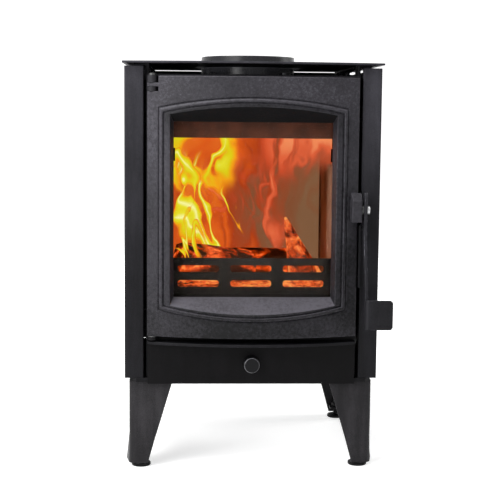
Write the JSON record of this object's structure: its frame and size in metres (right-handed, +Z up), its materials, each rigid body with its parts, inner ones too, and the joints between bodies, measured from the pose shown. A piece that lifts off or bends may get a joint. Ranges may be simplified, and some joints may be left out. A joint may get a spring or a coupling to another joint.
{
  "type": "wood stove",
  "caption": "Free-standing wood stove: bowed cast door with a glass window and lever latch, folded steel casing, round flue collar through a raised top plate, tapered legs on levelling glides.",
  "frame": {"origin": "on the floor at the middle of the four glide feet", "axes": "+Z up, front faces -Y, +X towards the handle side"},
  "size_m": [0.4111, 0.414, 0.649],
  "materials": {
    "stove_enamel": "satin stove enamel",
    "handle_enamel": "satin stove enamel",
    "knob_enamel": "satin black",
    "cast_enamel": "sand-cast face under matt stove enamel",
    "flue_iron": "turned and enamelled",
    "bare_iron": "fire-blackened",
    "heat_steel": "heat-tinted sheet",
    "fire_brick": "dry porous brick",
    "clear_glass": "clear ceramic glass",
    "rope_fibre": "braided glass fibre",
    "bright_steel": "zinc-bright turned steel",
    "dark_fastener": "blackened steel",
    "glide_foot": "blackened glide disc on a steel stud"
  },
  "bodies": {
    "stove_body": {"left_side_panel": "stove_enamel", "right_side_panel": "stove_enamel", "rear_panel": "stove_enamel", "top_plate": "stove_enamel", "lower_front_panel": "stove_enamel", "hearth_lip": "stove_enamel", "base_plate": "stove_enamel", "firebox_left_wall": "stove_enamel", "firebox_right_wall": "stove_enamel", "firebox_back_wall": "stove_enamel", "firebox_roof": "stove_enamel", "firebox_floor": "stove_enamel", "front_frame": "stove_enamel", "leg_front_left": "stove_enamel", "leg_front_right": "stove_enamel", "leg_rear_left": "stove_enamel", "leg_rear_right": "stove_enamel", "latch_strike": "stove_enamel", "top_plate_brackets": "stove_enamel", "left_panel_spacers": "stove_enamel", "right_panel_spacers": "stove_enamel", "damper_guides": "stove_enamel", "upper_hinge_lugs": "stove_enamel", "lower_hinge_lug": "stove_enamel", "flue_collar": "flue_iron", "grate": "bare_iron", "log_guard": "bare_iron", "air_wash_deflector": "heat_steel", "baffle_plate": "heat_steel", "ash_pan": "heat_steel", "left_grate_bearer": "heat_steel", "right_grate_bearer": "heat_steel", "left_fire_brick": "fire_brick", "right_fire_brick": "fire_brick", "back_fire_brick": "fire_brick", "upper_hinge_pin": "bright_steel", "lower_hinge_pin": "bright_steel", "lower_hinge_washer": "bright_steel", "flue_collar_bolts": "dark_fastener", "top_plate_screws": "dark_fastener", "rear_panel_screws": "dark_fastener", "leg_bolts": "dark_fastener", "foot_lock_nuts": "dark_fastener"},
    "door": {"door_casting": "cast_enamel", "door_glass": "clear_glass", "glass_gasket": "rope_fibre", "glass_clips": "dark_fastener", "glass_clip_screws": "dark_fastener", "door_rope_seal": "rope_fibre", "latch_pivot_bolt": "bright_steel", "latch_spacer_washer": "bright_steel"},
    "handle": {"handle_lever": "handle_enamel"},
    "air_control": {"air_knob": "knob_enamel", "air_rod": "bright_steel", "air_damper": "bright_steel"},
    "glide_front_left": {"foot_front_left": "glide_foot"},
    "glide_front_right": {"foot_front_right": "glide_foot"},
    "glide_rear_left": {"foot_rear_left": "glide_foot"},
    "glide_rear_right": {"foot_rear_right": "glide_foot"}
  },
  "joints": [
    {"name": "door_hinge", "type": "hinge", "parent": "stove_body", "child": "door", "pos_m": [-0.154, -0.1765, 0.41], "axis": [0, 0, -1], "range_deg": [0, 105]},
    {"name": "handle_pivot", "type": "hinge", "parent": "door", "child": "handle", "pos_m": [0.1715, -0.191, 0.41], "axis": [-1, 0, 0], "range_deg": [0, 45]},
    {"name": "air_control_slide", "type": "slide", "parent": "stove_body", "child": "air_control", "axis": [0, -1, 0], "range_m": [0, 0.035]},
    {"name": "glide_turn_front_left", "type": "hinge", "parent": "stove_body", "child": "glide_front_left", "pos_m": [-0.172, -0.152, 0.01], "axis": [0, 0, 1], "continuous": true},
    {"name": "glide_turn_front_right", "type": "hinge", "parent": "stove_body", "child": "glide_front_right", "pos_m": [0.172, -0.152, 0.01], "axis": [0, 0, 1], "continuous": true},
    {"name": "glide_turn_rear_left", "type": "hinge", "parent": "stove_body", "child": "glide_rear_left", "pos_m": [-0.172, 0.152, 0.01], "axis": [0, 0, 1], "continuous": true},
    {"name": "glide_turn_rear_right", "type": "hinge", "parent": "stove_body", "child": "glide_rear_right", "pos_m": [0.172, 0.152, 0.01], "axis": [0, 0, 1], "continuous": true}
  ]
}
